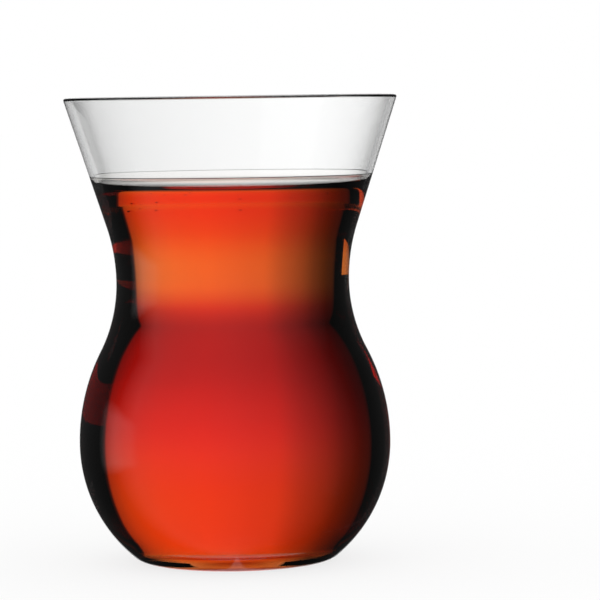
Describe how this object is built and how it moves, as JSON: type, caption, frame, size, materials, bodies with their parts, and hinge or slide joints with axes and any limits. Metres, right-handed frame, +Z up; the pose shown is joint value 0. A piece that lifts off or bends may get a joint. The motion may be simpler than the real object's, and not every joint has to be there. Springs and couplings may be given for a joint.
{
  "type": "turkish tea glass",
  "caption": "Clear handleless tea glass with a flared mouth, narrow waist and round belly, filled with black tea to below its lip.",
  "frame": {"origin": "centre of the ring that the glass stands on, at table level", "axes": "+Z up along the axis of revolution, from the foot to the lip; +X and +Y are equivalent"},
  "size_m": [0.068, 0.068, 0.095],
  "materials": {
    "clear_glass": "clear smooth glass, fire-polished lip",
    "black_tea": "clear red-brown liquid"
  },
  "bodies": {
    "root": {"glass": "clear_glass", "tea": "black_tea"}
  },
  "joints": []
}
